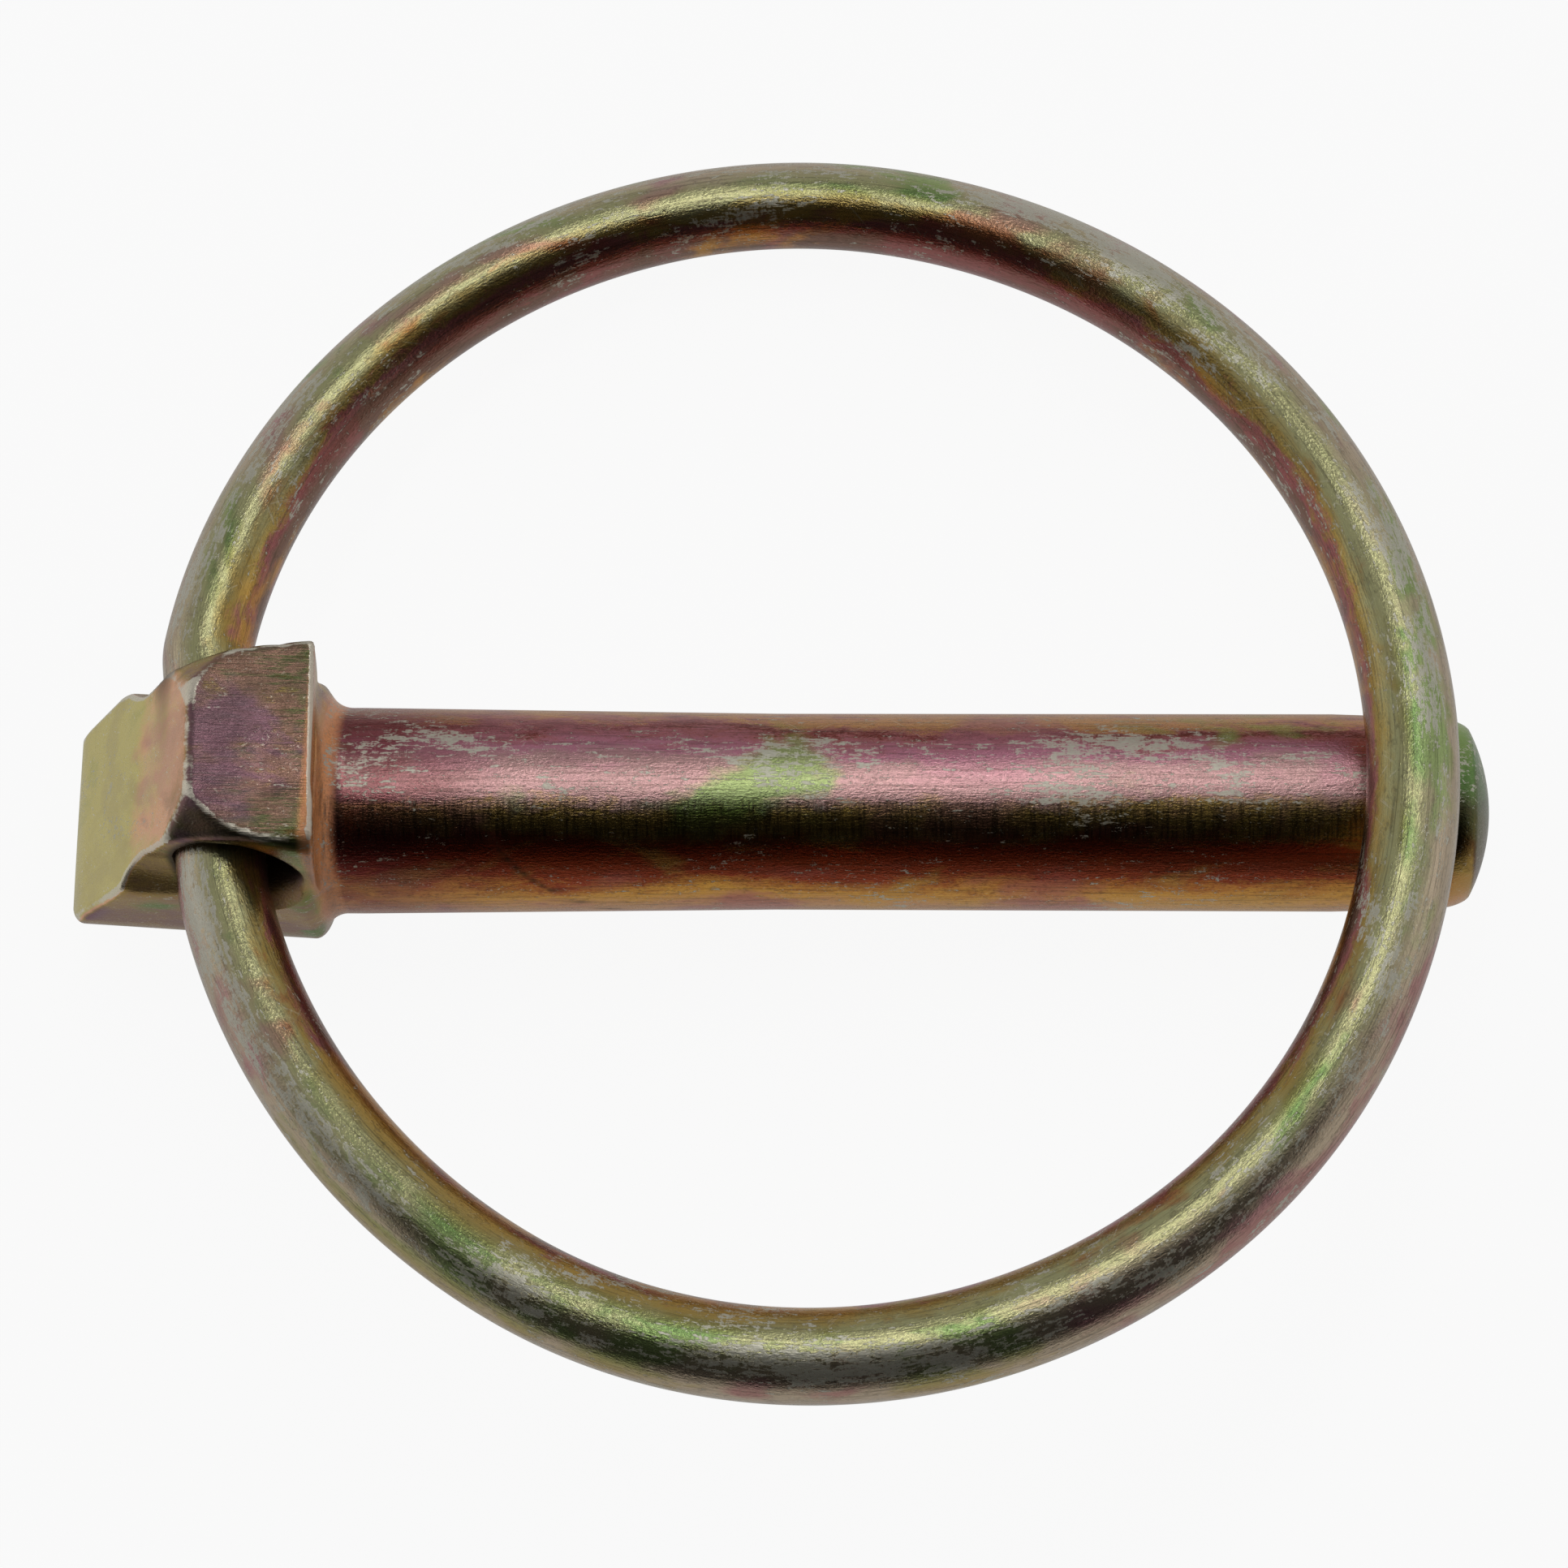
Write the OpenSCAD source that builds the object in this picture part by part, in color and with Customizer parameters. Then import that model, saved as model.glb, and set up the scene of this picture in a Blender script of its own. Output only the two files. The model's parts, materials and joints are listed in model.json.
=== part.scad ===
// Lynch pin: a forged pin with a sprung wire ring that swings about a cross hole in its head.
// The pin is built along +X with the centre of its shoulder at the origin: the shank points to +X,
// the head lies at -X and its flat front faces +Z, the side on which the ring closes.
// At the end both pieces are laid down together, as the pin comes to rest on a table.

/* [Shank] */
// Diameter of the plain part of the shank
shank_d = 7.94; // [7.2:0.02:8.6]
// Length from the shoulder to the tip
shank_len = 46.5; // [45.5:0.5:60]
// How much thicker the shank is at the shoulder
root_swell = 0.44; // [0:0.02:0.8]
// Length over which the shank runs down to its plain diameter
swell_len = 18; // [8:1:30]
// Radius of the fillet between the shank and the flat-fronted side of the head
root_fillet_r = 1.2; // [0.6:0.1:1.6]
// Radius of the fillet between the shank and the collar
collar_fillet_r = 0.9; // [0.6:0.05:1.1]
// Length of the tapered lead at the tip
lead_len = 6; // [5.5:0.1:8]
// How much the lead narrows, on the radius
lead_drop = 0.16; // [0:0.02:0.4]
// Radius of the domed end face
tip_dome_r = 7.4; // [6:0.2:14]
// Radius of the edge round the end face
tip_edge_r = 2; // [0.6:0.1:2.4]

/* [Head] */
// Diameter of the round collar at the shoulder
collar_d = 10.56; // [10.2:0.02:11.4]
// How far the collar's rim stands back from the flat-fronted side's shoulder
rim_set = 0.5; // [0.2:0.05:0.7]
// Radius of the collar's rounded rim
rim_r = 0.45; // [0.3:0.05:0.6]
// Diameter of the collar at the far end of the head
collar_end_d = 9.2; // [8.8:0.1:10.2]
// Depth of the trimmed strip along each side of the collar
trim_depth = 0.35; // [0.1:0.05:0.6]
// Length of the head at its back
head_len = 11.55; // [11.2:0.05:14]
// Height of the flat front over the shank's axis, at the shoulder
front_h = 6.65; // [6.4:0.05:8]
// Angle by which shoulder, flat front, bevel and end are out of square with the shank
head_skew = 3.5; // [0:0.5:5]
// Angle by which the shoulder leans back from the flat front towards the collar
shoulder_lean = 6.5; // [0:0.5:8]
// Angle at which the flat front rises towards the end of the head
front_rise = 3; // [0:0.5:6]
// Length of the flat front
front_len = 5; // [4.4:0.1:5.4]
// Steepness of the long bevel on the end of the head
bevel_angle = 54.5; // [50:0.5:60]
// Radius that turns the bevel into the upright end
end_round_r = 5.6; // [4:0.1:7]
// Width across the two side flats at the shoulder
nose_w = 9.2; // [8.8:0.1:10]
// Angle at which each side flat leans in towards the end of the head
nose_draft = 7.7; // [4:0.1:9]
// Radius of the ball-ended relief along the foot of each side flat
relief_r = 2; // [1.6:0.1:2.4]
// Distance from the shoulder to the centre of the relief's ball end
relief_len = 7.1; // [5.5:0.1:7.5]

/* [Turned corner] */
// Radius to which the corners of the flat front are turned
crown_r = 4.55; // [4.3:0.05:4.9]
// Distance from the shoulder to the middle of the turned corner
crown_back = 1.4; // [1:0.1:1.8]
// How far the turned corner sits off centre, towards the upper end of the cross hole
crown_shift = 0.25; // [0:0.05:0.4]
// Steepness of the turned corner
crown_angle = 40; // [30:1:55]

/* [Cross hole] */
// Diameter of the cross hole
hole_d = 4.8; // [4.4:0.05:5]
// Height of the hole's axis over the shank's axis
hole_h = 3.45; // [3.3:0.05:3.7]
// Distance from the shoulder to the hole's axis
hole_back = 3.95; // [3.7:0.05:4.2]
// Slant of the hole against a square cross hole
hole_slant = 8.5; // [5:0.5:10]

/* [Ring] */
// Diameter of the spring wire
wire_d = 3.6; // [3:0.05:3.8]
// Gap between the wire and the wall of the hole, where the ring draws its ends against it
wall_gap = 0.1; // [0.02:0.01:0.3]
// Gap between the two wire ends inside the hole
end_gap = 1.6; // [0.6:0.1:3]
// Radius of the bends that turn the wire ends into the hole
bend_r = 3; // [2.5:0.5:5]
// Turn of the bend at the lower end of the hole
bend_low = 8; // [5:0.5:11]
// Turn of the bend at the upper end of the hole
bend_high = 15.5; // [13:0.5:18]
// Radius of the ring's tight quarter, beside the tip
tight_r = 22.6; // [20:0.1:26]
// Radius of the ring's open quarter, round the tip
open_r = 25.95; // [23:0.05:28]
// Heading of the wire where its lower arc meets the tight quarter
low_heading = -31; // [-36:1:-26]
// Heading of the wire where the tight quarter meets the open one
side_heading = 64; // [58:1:70]
// Heading of the wire where the open quarter meets the upper arc
high_heading = 170; // [165:1:175]
// Gap at which the closed ring lies on the shank
rest_gap = 0.08; // [0.02:0.01:0.3]

/* [Hidden] */
$fn = 72;
wire_facets = 32;                   // facets round the wire
steel = "#b7a66a";
wire_steel = "#a89c78";
beyond = 40;                       // a length that passes every part of the head
overlap = 0.5;                     // how far a piece of the forging runs into its neighbour

// Shank
shank_r = shank_d / 2;
root_r = shank_r + root_swell / 2;
lead_at = shank_len - lead_len;
lead_r = shank_r - lead_drop;
tip_edge_at = shank_len - tip_edge_r;
function shank_r_at(x) = lookup(x, [[lead_at, shank_r], [tip_edge_at, lead_r]]);

// Head
collar_r = collar_d / 2;
collar_end_r = collar_end_d / 2;
collar_taper = (collar_r - collar_end_r) / head_len;
nose_foot = 1.7;                   // height from which the nose stands on the collar
beyond_shoulder = 1;               // how far the nose runs on before the shoulder cuts it off
rim_centre = [-rim_set - rim_r, collar_r - rim_r];
rim_reach = max(root_r + collar_fillet_r - rim_centre[1], 0);
rim_run = sqrt(pow(collar_fillet_r + rim_r, 2) - pow(rim_reach, 2));
foot_centre = [rim_centre[0] + rim_run, root_r + collar_fillet_r];
foot_top = foot_centre - collar_fillet_r / (collar_fillet_r + rim_r) * [rim_run, rim_reach];
front_edge = [-front_len, front_h + front_len * tan(front_rise)];
end_centre = [end_round_r - head_len, (front_edge[1]
    - end_round_r * cos(bevel_angle)
    - (head_len - front_len - end_round_r * (1 - sin(bevel_angle))) * tan(bevel_angle))];
bevel_foot = end_centre + end_round_r * [-sin(bevel_angle), cos(bevel_angle)];
shoulder_way = [cos(shoulder_lean), 0, -sin(shoulder_lean)];
nose_fillet_at = (root_fillet_r + shoulder_way * [hole_back, 0, front_h])
    / (cos(shoulder_lean) * cos(head_skew)) - hole_back;
fillet_sink = 0.02;                // how far the nose fillet's foot runs under the shank's surface
function side_at(back) = nose_w / 2 - back * tan(nose_draft);

// Ring, in its own plane: x away from the hinge, y across the shank. A heading is the direction
// in which the wire runs, and it grows by a full turn from the lower end to the upper one.
wire_r = wire_d / 2;
ring_pull = (hole_d / 2 - wire_r - wall_gap) / cos(hole_slant);
bend_clear = 0.8;                   // length of straight wire outside each mouth of the hole
joint_len = 0.2;                   // length of the sleeves that join the bends
joint_lift = 0.03;                  // how far the sleeves stand proud of the wire
hinge = [-hole_back - ring_pull, 0, hole_h];
hinge_axis = [sin(hole_slant), -cos(hole_slant), 0];
hinge_side = [cos(hole_slant), sin(hole_slant), 0];
mouth = side_at(hole_back) / cos(hole_slant);
bend_start = mouth + bend_clear;
low_end_heading = hole_slant - 90;
high_end_heading = hole_slant + 270;
headings = [low_end_heading, low_end_heading + bend_low, low_heading, side_heading, high_heading,
    high_end_heading - bend_high, high_end_heading];

// Way covered by an arc of radius 1 between two headings
function sweep(a, b) = [sin(b) - sin(a), cos(a) - cos(b)];
function cross2(p, q) = p[0] * q[1] - p[1] * q[0];

// The two arcs beside the head get the radii that bring both wire ends onto the hole's axis
low_end = bend_start * [hinge_axis[0], hinge_axis[1]];
span = -2 * low_end - bend_r * (sweep(headings[0], headings[1]) + sweep(headings[5], headings[6]))
    - tight_r * sweep(headings[2], headings[3]) - open_r * sweep(headings[3], headings[4]);
low_way = sweep(headings[1], headings[2]);
high_way = sweep(headings[4], headings[5]);
low_r = cross2(span, high_way) / cross2(low_way, high_way);
high_r = cross2(low_way, span) / cross2(low_way, high_way);
radii = [bend_r, low_r, tight_r, open_r, high_r, bend_r];
function start_of(i) = i == 0 ? low_end
    : start_of(i - 1) + radii[i - 1] * sweep(headings[i - 1], headings[i]);
function centre_of(i) = start_of(i) + radii[i] * [-sin(headings[i]), cos(headings[i])];

// Closed angle: the wire lies on the shank where it crosses over it, near the tip
far_centre = centre_of(3);
far_cross = far_centre[0] + sqrt(open_r * open_r - far_centre[1] * far_centre[1]);
closed_angle = asin((shank_r_at(far_cross - hole_back - wire_r) + wire_r + rest_gap - hole_h)
    / (far_cross * cos(hole_slant)));

// Rest: the collar's rim and one end of the lead lie on the table, and so does a side of the ring
pitch = min(atan((collar_r - shank_r) / lead_at), atan((collar_r - lead_r) / tip_edge_at));
lift = collar_r * cos(pitch);
function wire_point(i, h) = centre_of(i) + radii[i] * [sin(h), -cos(h)];
function swung(p) = let(along = p[0] * hinge_axis[0] + p[1] * hinge_axis[1],
        out = p[0] * hinge_side[0] + p[1] * hinge_side[1])
    hinge + along * hinge_axis + out * (cos(closed_angle) * hinge_side + [0, 0, sin(closed_angle)]);
ring_line = [for (i = [1:4]) for (k = [0:45])
    swung(wire_point(i, headings[i] + (headings[i + 1] - headings[i]) * k / 45))];
function laid_y(p, roll) = p[1] * cos(roll) + p[2] * sin(roll);
function laid_z(p, roll) = lift - p[0] * sin(pitch)
    + (p[2] * cos(roll) - p[1] * sin(roll)) * cos(pitch);
function lowest(roll) = min([for (p = ring_line) laid_z(p, roll)]) - wire_r;
function settle(low, high, steps) = let(mid = (low + high) / 2)
    steps == 0 ? mid : lowest(mid) > 0 ? settle(mid, high, steps - 1) : settle(low, mid, steps - 1);
roll = settle(0, 60, 24);

// Middle of the resting pin, seen from above
tip_x = (shank_len - tip_dome_r) * cos(pitch) + tip_dome_r;
end_x = end_centre[0] * cos(pitch) + end_centre[1] * sin(pitch) - end_round_r;
ring_y = [for (p = ring_line) laid_y(p, roll)];
middle = [(tip_x + end_x) / 2, (min(ring_y) + max(ring_y)) / 2];

// Moves a piece from the pin's own frame to the table
module lying() {
    translate([-middle[0], -middle[1], lift]) rotate([0, pitch, 0]) rotate([-roll, 0, 0])
        children();
}

// Block that fills everything beyond a plane, on the side to which its normal points
module beyond_plane(point, normal) {
    translate(point)
        rotate([0, acos(normal[2] / norm(normal)), atan2(normal[1], normal[0])])
            translate([-beyond / 2, -beyond / 2, 0]) cube(beyond);
}

// Turns a profile drawn as [distance along the shank, radius] about the shank's axis
module turned() {
    rotate([0, 90, 0]) rotate_extrude() mirror([1, -1]) children();
}

// Profile of the shank, with its domed and rounded tip
module shank_profile() {
    edge_r = lead_r - tip_edge_r;
    intersection() {
        union() {
            polygon([[-overlap, 0], [shank_len, 0], [shank_len, edge_r], [tip_edge_at, edge_r],
                [tip_edge_at, lead_r], [lead_at, shank_r], [swell_len, shank_r],
                [root_fillet_r, root_r], [-overlap, root_r]]);
            translate([tip_edge_at, edge_r]) intersection() {
                circle(tip_edge_r);
                square(tip_edge_r);
            }
        }
        union() {
            translate([shank_len - tip_dome_r, 0]) circle(tip_dome_r);
            translate([-overlap, 0]) square([overlap + shank_len - tip_dome_r, tip_dome_r]);
        }
    }
}

// Fillet at the foot of the nose: it follows the skewed and leaning shoulder round the shank, and
// runs out where the collar's own fillet takes over
module nose_fillet() {
    intersection() {
        translate([nose_fillet_at, 0, 0]) rotate([0, shoulder_lean, head_skew]) turned()
            translate([-root_fillet_r, root_r - fillet_sink]) difference() {
                translate([-overlap, -overlap]) square(root_fillet_r + overlap);
                translate([root_fillet_r, root_fillet_r]) circle(root_fillet_r);
            }
        union() {
            rotate([0, 90, 0]) cylinder(r = rim_centre[1], h = beyond, center = true);
            translate([0, 0, nose_foot]) linear_extrude(front_h) nose_plan();
        }
    }
}

// Round back of the head: a collar with a rounded rim that flows through its fillet into the shank,
// a little slimmer at its far end, with a trimmed strip on each side
module collar() {
    difference() {
        turned() difference() {
            polygon([[-head_len, 0], [foot_centre[0], 0], [foot_centre[0], root_r], foot_top,
                [-rim_set, collar_r], [-head_len, collar_end_r]]);
            translate(foot_centre) circle(collar_fillet_r);
            difference() {
                translate([rim_centre[0], foot_top[1]]) square(rim_r + overlap);
                translate(rim_centre) circle(rim_r);
            }
        }
        for (side = [-1, 1])
            beyond_plane([0, side * (collar_r - trim_depth), 0], [-collar_taper, side, 0]);
    }
}

// Plan of the nose, between its two side flats
module nose_plan() {
    far_side = side_at(head_len);
    near_side = side_at(-beyond_shoulder);
    polygon([[-head_len, -far_side], [beyond_shoulder, -near_side],
        [beyond_shoulder, near_side], [-head_len, far_side]]);
}

// Block that carries the flat front, with its corners turned off and its shoulder cut
module nose() {
    top = front_edge[1] + overlap;
    difference() {
        intersection() {
            translate([0, 0, nose_foot]) linear_extrude(top - nose_foot) nose_plan();
            translate([-crown_back, crown_shift, 0])
                cylinder(r1 = crown_r + front_h / tan(crown_angle),
                    r2 = crown_r + (front_h - top) / tan(crown_angle), h = top);
        }
        skewed() beyond_plane([0, 0, front_h], shoulder_way);
    }
}

// Turns the head's cut faces out of square, about an upright axis through the cross hole
module skewed() {
    translate([-hole_back, 0, 0]) rotate(head_skew) translate([hole_back, 0, 0]) children();
}

// Outline of the head seen from its side: flat front, long bevel and rounded end
module head_outline() {
    low = -beyond / 4;
    skewed() rotate([90, 0, 0]) linear_extrude(beyond, center = true) {
        polygon([bevel_foot, end_centre, [end_centre[0], low], [beyond_shoulder, low],
            [beyond_shoulder, front_h - beyond_shoulder * tan(front_rise)], front_edge]);
        translate(end_centre) circle(end_round_r);
    }
}

// Ball-ended groove that lies against the side flat and eases it into the collar
module side_relief() {
    translate([-relief_len, side_at(relief_len), hole_h]) rotate([0, 0, nose_draft])
        translate([0, relief_r, 0]) {
            sphere(relief_r);
            rotate([0, 90, 0]) cylinder(r = relief_r, h = beyond);
        }
}

module cross_hole() {
    translate([-hole_back, 0, hole_h]) rotate([90, 0, hole_slant])
        cylinder(d = hole_d, h = beyond, center = true);
}

module head() {
    difference() {
        intersection() {
            head_outline();
            union() {
                collar();
                nose();
            }
        }
        for (side = [0, 1]) mirror([0, side, 0]) side_relief();
    }
}

// One forging, head and shank, with the cross hole drilled through its head
module pin() {
    color(steel) lying() difference() {
        union() {
            head();
            turned() shank_profile();
            nose_fillet();
        }
        cross_hole();
    }
}

// One bend of the wire, from one heading to the next
module wire_bend(i) {
    translate(centre_of(i)) rotate(headings[i] - 90)
        rotate_extrude(angle = headings[i + 1] - headings[i])
            translate([radii[i], 0]) circle(wire_r, $fn = wire_facets);
}

// Short sleeve, a hair proud of the wire, that joins one stretch of it to the next
module wire_joint(i) {
    translate(start_of(i)) rotate(headings[i]) rotate([0, 90, 0])
        cylinder(r = wire_r + joint_lift, h = joint_len, center = true, $fn = wire_facets);
}

// Straight end of the wire, inside the cross hole
module wire_end(heading) {
    rotate(heading) rotate([0, 90, 0]) translate([0, 0, end_gap / 2])
        cylinder(r = wire_r, h = bend_start - end_gap / 2, $fn = wire_facets);
}

// One length of spring wire, closed over the shank
module ring() {
    color(wire_steel) lying() translate(hinge) rotate(closed_angle, hinge_axis) {
        wire_end(low_end_heading);
        wire_end(high_end_heading - 180);
        for (i = [0:len(radii) - 1]) wire_bend(i);
        for (i = [0:len(radii)]) wire_joint(i);
    }
}

pin();
ring();
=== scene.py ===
# %% [markdown]
# # A lynch pin, forged and plated
# The part is a forged pin whose head carries a cross hole, and a sprung wire ring whose two ends sit in
# that hole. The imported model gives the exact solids, and this lesson dresses them: a pin whose edges are
# rounded as a forging's are, a wire swept along its real path, and a worn yellow zinc finish on both.

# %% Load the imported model
import json
import bpy
import numpy as np
from mathutils import Matrix, Vector


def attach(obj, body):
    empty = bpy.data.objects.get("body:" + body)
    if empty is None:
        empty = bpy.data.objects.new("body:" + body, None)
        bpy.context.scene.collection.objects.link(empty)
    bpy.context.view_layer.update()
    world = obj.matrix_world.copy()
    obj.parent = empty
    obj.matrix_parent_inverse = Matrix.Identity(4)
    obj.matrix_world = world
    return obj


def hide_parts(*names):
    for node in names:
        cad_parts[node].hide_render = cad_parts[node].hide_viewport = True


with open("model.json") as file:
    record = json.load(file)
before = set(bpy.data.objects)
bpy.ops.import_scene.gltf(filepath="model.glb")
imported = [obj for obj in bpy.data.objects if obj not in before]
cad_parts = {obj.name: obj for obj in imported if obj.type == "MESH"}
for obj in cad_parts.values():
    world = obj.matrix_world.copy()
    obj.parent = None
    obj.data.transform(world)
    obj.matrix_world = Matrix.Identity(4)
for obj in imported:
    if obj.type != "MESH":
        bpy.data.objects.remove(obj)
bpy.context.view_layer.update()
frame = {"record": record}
record = frame["record"]
MM = 0.001

# %% [markdown]
# ## Where the pin lies
# It is easiest to think in the pin's own frame: x along the shank from the shoulder, z towards the flat
# front of the head, all in mm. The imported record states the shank's axis and the ring's hinge, and those
# two lines are enough to find how that frame lies on the table. The ring is pulled back until its wire
# nearly touches the wall of the hole, so the hinge lies a little behind the hole's axis.

# %% The pin's own frame
HOLE_SLANT = np.radians(8.5)
HOLE_BACK, HOLE_H, HOLE_R, WIRE_R = 3.95, 3.45, 2.4, 1.8
WALL_GAP = 0.1
RING_PULL = (HOLE_R - WIRE_R - WALL_GAP) / np.cos(HOLE_SLANT)
HINGE = np.array([-HOLE_BACK - RING_PULL, 0, HOLE_H])

joint = next(j for j in record["behaviour"]["joints"] if j["name"] == "ring_swing")
shank_axis = np.array(record["mounts"][0]["axis"], float)
hinge_axis = np.array(joint["axis"], float)
x_axis = shank_axis / np.linalg.norm(shank_axis)
y_axis = hinge_axis - x_axis * (hinge_axis @ x_axis)
y_axis = -y_axis / np.linalg.norm(y_axis)
LAY = np.column_stack([x_axis, y_axis, np.cross(x_axis, y_axis)])
LAY_AT = np.array(joint["pos_m"], float) / MM - LAY @ HINGE


def to_table(points):
    """Points in the pin's frame, in mm, to the row's frame, in metres: turned by LAY, then moved."""
    return (np.asarray(points, float) @ LAY.T + LAY_AT) * MM


def from_table(places):
    """The way back: from the row's frame, in metres, to the pin's own, in mm."""
    return (np.asarray(places, float) / MM - LAY_AT) @ LAY


print("pin frame lies at", LAY_AT.round(3), "with x along", x_axis.round(4))

# %% [markdown]
# ## Rounded solids from distances
# A forging has no sharp edge. One way to get that is to bevel the solid's mesh, but its edges are curved
# and meet in odd corners. Here the head is described by distances instead: each face is a signed
# distance, negative inside, and two distances are joined with a rounded corner of a chosen radius.

# %% Joining distances with rounded corners
def both(a, b, radius):
    """What is inside a and b. Near the corner the two distances add as the sides of a right
    triangle, which turns the corner to the given radius."""
    near_a, near_b = np.maximum(a + radius, 0), np.maximum(b + radius, 0)
    return np.minimum(np.maximum(a, b), -radius) + np.hypot(near_a, near_b)


def either(a, b, radius):
    """What is inside a or b, with a hollow fillet of the given radius where they meet."""
    near_a, near_b = np.maximum(radius - a, 0), np.maximum(radius - b, 0)
    return np.maximum(np.minimum(a, b), radius) - np.hypot(near_a, near_b)


def below(p, point, normal):
    """Distance above the plane through point with that normal: negative below it."""
    n = np.asarray(normal, float)
    return (p - np.asarray(point, float)) @ (n / np.linalg.norm(n))


def rise(values, start, width):
    """0 up to start, then straight up to 1 over the width: (values - start) / width, kept to 0..1."""
    return np.clip((values - start) / width, 0, 1)


print("a radius of 1 mm takes", round(float(both(0.0, 0.0, 1.0)), 3), "mm off a square corner")

# %% [markdown]
# ## The shank
# The shank is a round bar: a little thicker at the head, a tapered lead at the tip, and a domed end with
# a rounded edge. Its distance needs only the place along the bar and the distance from its axis.

# %% The shank's distance
SHANK_R, SHANK_LEN, ROOT_R = 3.97, 46.5, 4.19
ROOT_FILLET, SWELL_LEN, LEAD_AT, LEAD_R = 1.2, 18.0, 40.5, 3.81
TIP_EDGE_R, TIP_DOME_R, DOME_EDGE = 2.0, 7.4, 0.03


def shank_distance(p):
    """The bar's radius falls in straight lines between a few places. The end is a plane joined to the
    side by the edge's radius, and a ball of the dome's radius cuts it to its crown."""
    along, out = p[:, 0], np.hypot(p[:, 1], p[:, 2])
    radius = np.interp(along, [ROOT_FILLET, SWELL_LEN, LEAD_AT, SHANK_LEN - TIP_EDGE_R],
                       [ROOT_R, SHANK_R, SHANK_R, LEAD_R])
    bar = both(out - radius, along - SHANK_LEN, TIP_EDGE_R)
    dome = np.hypot(along - (SHANK_LEN - TIP_DOME_R), out) - TIP_DOME_R
    return both(bar, np.where(along > SHANK_LEN - TIP_DOME_R, dome, out - TIP_DOME_R), DOME_EDGE)


print("the shank's axis lies", -shank_distance(np.array([[SWELL_LEN, 0, 0]])).round(2), "mm deep")

# %% [markdown]
# ## The head
# The head is a round collar about the shank's axis with a nose standing on it. Seen from its side it has
# a flat front, a long bevel that rounds into an upright end, and a shoulder that leans. These faces are
# a little out of square, as a forging's are. A face that is skewed by a small angle is easy to describe:
# the points are turned back by that angle and measured against a square face.

# %% The head's sizes
COLLAR_R, COLLAR_END_R, TRIM, RIM_SET, RIM_R = 5.28, 4.6, 0.35, 0.5, 0.45
HEAD_LEN, FRONT_H, FRONT_LEN, NOSE_FOOT = 11.55, 6.65, 5.0, 1.7
SKEW, LEAN, RISE, BEVEL = np.radians([3.5, 6.5, 3.0, 54.5])
END_ROUND, NOSE_HALF, DRAFT = 5.6, 4.6, np.radians(7.7)
RELIEF_R, RELIEF_LEN = 2.0, 7.1
CROWN_R, CROWN_BACK, CROWN_SHIFT, CROWN_ANGLE = 4.55, 1.4, 0.25, np.radians(40)
EDGE, SOFT_EDGE, END_EDGE, COLLAR_FILLET = 0.2, 0.32, 0.5, 0.9
FRONT_EDGE = [-FRONT_LEN, 0, FRONT_H + FRONT_LEN * np.tan(RISE)]
FRONT_WAY = [np.sin(RISE), 0, np.cos(RISE)]


def skewed(p):
    """The points seen from the head's skewed faces: turned back about the cross hole's upright."""
    c, s = np.cos(SKEW), np.sin(SKEW)
    x = p[:, 0] + HOLE_BACK
    return np.column_stack([x * c + p[:, 1] * s - HOLE_BACK, p[:, 1] * c - x * s, p[:, 2]])


print("front and bevel meet at", np.round(FRONT_EDGE, 2))

# %% [markdown]
# ## The collar, the front and the bevel
# The collar narrows a little towards the end of the head, and its rim by the shoulder is rounded. The
# bevel turns into the upright end over a wide arc. Joining the two planes with so large a radius would
# reach past the planes' own ends, so the arc is written out as a circle about its centre.

# %% Collar, front and bevel
def collar_distance(p):
    """A cone of slight taper about the shank's axis, trimmed flat on both sides, with a rounded rim."""
    taper = (COLLAR_R - COLLAR_END_R) / HEAD_LEN
    lean = np.hypot(1, taper)
    around = (np.hypot(p[:, 1], p[:, 2]) - COLLAR_R - taper * p[:, 0]) / lean
    sides = (np.abs(p[:, 1]) - COLLAR_R + TRIM - taper * p[:, 0]) / lean
    return both(both(around, sides, EDGE), p[:, 0] + RIM_SET, RIM_R)


def bevel_distance(q):
    """The bevel's plane and the upright end, with the arc that turns one into the other: beyond the
    arc's centre a point counts by its distance from that centre, elsewhere by the plane it faces."""
    centre_x = END_ROUND - HEAD_LEN
    slope = FRONT_EDGE[2] - (FRONT_EDGE[0] - centre_x) * np.tan(BEVEL)
    x, z = q[:, 0] - centre_x, q[:, 2] - slope + END_ROUND / np.cos(BEVEL)
    on_bevel = x * np.cos(BEVEL) + z * np.sin(BEVEL) > 0
    return np.where(on_bevel, z * np.cos(BEVEL) - x * np.sin(BEVEL),
                    np.where(z > 0, np.hypot(x, z), -x)) - END_ROUND


def ends_distance(p):
    """The flat front and the bevel, with the edge between them."""
    q = skewed(p)
    return both(below(q, FRONT_EDGE, FRONT_WAY), bevel_distance(q), SOFT_EDGE)


print("at the shoulder the front lies", -ends_distance(np.zeros((1, 3))).round(2), "mm off the axis")

# %% [markdown]
# ## The nose and its grooves
# The nose has two side flats with draft, so that it comes out of the die, and its front corners are
# turned off to a cone. A ball-ended groove eases each side flat into the collar. Each of these is one
# distance, and the rounded joins do the rest.

# %% Nose and grooves
def turned_distance(p):
    """The turned corner: a cone about an upright axis."""
    out = np.hypot(p[:, 0] + CROWN_BACK, p[:, 1] - CROWN_SHIFT)
    return (out - CROWN_R) * np.sin(CROWN_ANGLE) - (FRONT_H - p[:, 2]) * np.cos(CROWN_ANGLE)


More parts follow.
